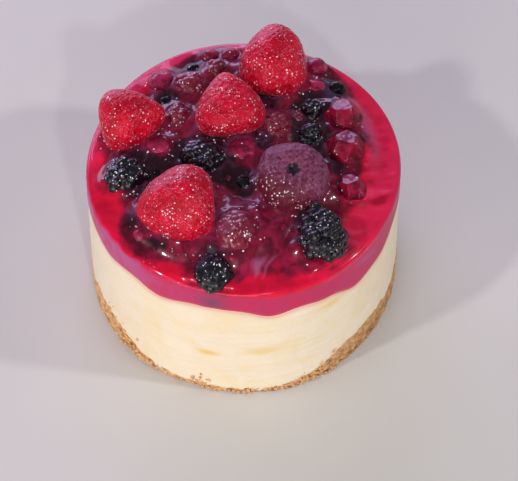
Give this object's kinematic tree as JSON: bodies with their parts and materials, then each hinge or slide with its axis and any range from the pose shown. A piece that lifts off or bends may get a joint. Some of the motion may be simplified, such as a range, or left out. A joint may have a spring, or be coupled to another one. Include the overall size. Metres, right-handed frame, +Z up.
{
  "type": "berry cheesecake",
  "caption": "Small round cheesecake with a crumb base, a tall layer of cheese cream, and red jelly with whole berries half sunk in it.",
  "frame": {"origin": "centre of the flat underside, on the surface that the cake stands on", "axes": "+Z up through the cake, and -Y towards the front, the side where cream has run down over the crumb base"},
  "size_m": [0.101, 0.101, 0.0754],
  "materials": {
    "crumb": "dry baked biscuit crumb, ragged",
    "cream": "set cheese cream, soft satin",
    "jelly": "clear red berry jelly, wet gloss",
    "strawberry": "moist strawberry skin with seeds",
    "dark_strawberry": "thawed strawberry, velvety",
    "bramble": "black drupelets, wet gloss",
    "raspberry": "dark red drupelets, wet",
    "cherry": "stewed cherry, wet gloss",
    "red_currant": "stewed currant, wet gloss",
    "black_currant": "black currant, wet gloss"
  },
  "bodies": {
    "root": {"crumb_base": "crumb", "cheese_cream": "cream", "berry_jelly": "jelly", "strawberry_back": "strawberry", "strawberry_middle": "strawberry", "strawberry_left": "strawberry", "strawberry_front": "strawberry", "strawberry_dark": "dark_strawberry", "bramble_left": "bramble", "bramble_middle": "bramble", "bramble_right": "bramble", "bramble_rim": "bramble", "raspberry_front": "raspberry", "cherry_back": "cherry", "cherry_right": "cherry", "cherry_front": "cherry", "bramble_back": "bramble", "bramble_near_cherry": "bramble", "raspberry_middle": "raspberry", "raspberry_left": "raspberry", "raspberry_back": "raspberry", "raspberry_shaded": "raspberry", "raspberry_purple": "raspberry", "raspberry_far": "raspberry", "red_currant_left": "red_currant", "red_currant_middle": "red_currant", "red_currant_back_left": "red_currant", "red_currant_far_left": "red_currant", "red_currant_far_right": "red_currant", "red_currant_back_right": "red_currant", "red_currant_glazed": "red_currant", "red_currant_ridge": "red_currant", "red_currant_centre": "red_currant", "red_currant_front": "red_currant", "red_currant_low": "red_currant", "red_currant_edge": "red_currant", "black_currant_left": "black_currant", "black_currant_front": "black_currant", "black_currant_back": "black_currant", "black_currant_shaded": "black_currant", "black_currant_middle": "black_currant", "black_currant_back_left": "black_currant", "black_currant_far": "black_currant", "black_currant_edge": "black_currant", "black_currant_edge_low": "black_currant", "black_currant_right": "black_currant"}
  },
  "joints": []
}
